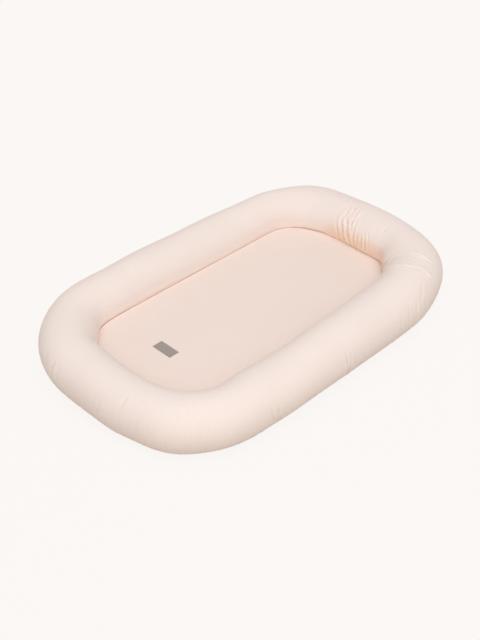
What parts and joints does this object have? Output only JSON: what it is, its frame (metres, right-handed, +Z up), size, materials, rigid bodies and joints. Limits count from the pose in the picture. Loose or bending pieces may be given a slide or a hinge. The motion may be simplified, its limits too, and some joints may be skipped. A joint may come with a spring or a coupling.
{
  "type": "infant lounger",
  "caption": "Rounded-rectangle baby nest: a stuffed bolster ring in a zipped cloth cover round a thin foam mattress that lifts out.",
  "frame": {"origin": "on the floor under the middle of the ring", "axes": "+X along the nest towards its head end, +Y across it to the left side of a child lying in it, +Z up"},
  "size_m": [0.8, 0.512, 0.096],
  "materials": {
    "blush_cotton": "woven, fine rib",
    "plain_cotton": "woven, smooth",
    "liner_cloth": "non-woven",
    "fibre": "loose polyester fibre",
    "foam": "open-cell foam",
    "zip_tape": "woven tape",
    "coil_plastic": "nylon coil",
    "slider_metal": "satin",
    "label_cloth": "satin-woven label, bare",
    "stitch_thread": "sewing thread"
  },
  "bodies": {
    "nest": {"bolster_cover": "blush_cotton", "bolster_liner": "liner_cloth", "bolster_filling": "fibre", "base_panel": "blush_cotton", "bolster_zip_tape_upper": "zip_tape", "bolster_zip_tape_lower": "zip_tape", "bolster_zip_coil_upper": "coil_plastic", "bolster_zip_coil_lower": "coil_plastic", "bolster_zip_closed_stop": "coil_plastic", "bolster_zip_open_stop": "coil_plastic"},
    "zip_slider": {"bolster_zip_slider": "slider_metal"},
    "zip_pull": {"bolster_zip_pull": "slider_metal"},
    "mattress": {"mattress_foam": "foam", "mattress_cover_top": "plain_cotton", "mattress_cover_bottom": "plain_cotton", "mattress_zip_tape_upper": "zip_tape", "mattress_zip_tape_lower": "zip_tape", "mattress_zip_coil_upper": "coil_plastic", "mattress_zip_coil_lower": "coil_plastic", "mattress_zip_closed_stop": "coil_plastic", "mattress_zip_open_stop": "coil_plastic", "label_patch": "label_cloth", "label_stitching": "stitch_thread"},
    "mattress_zip_slider": {"mattress_zip_slider": "slider_metal"}
  },
  "joints": [
    {"name": "mattress_lift", "type": "slide", "parent": "nest", "child": "mattress", "axis": [0, 0, 1], "range_m": [0, 0.15]},
    {"name": "bolster_zip_run", "type": "slide", "parent": "nest", "child": "zip_slider", "axis": [-1, 0, 0], "range_m": [0, 0.2935]},
    {"name": "bolster_zip_pull_swing", "type": "hinge", "parent": "zip_slider", "child": "zip_pull", "pos_m": [0.15252, 0.25136, 0.01806], "axis": [0, -0.5109, -0.8597], "range_deg": [0, 180]},
    {"name": "mattress_zip_run", "type": "slide", "parent": "mattress", "child": "mattress_zip_slider", "axis": [-1, 0, 0], "range_m": [0, 0.2705]}
  ]
}
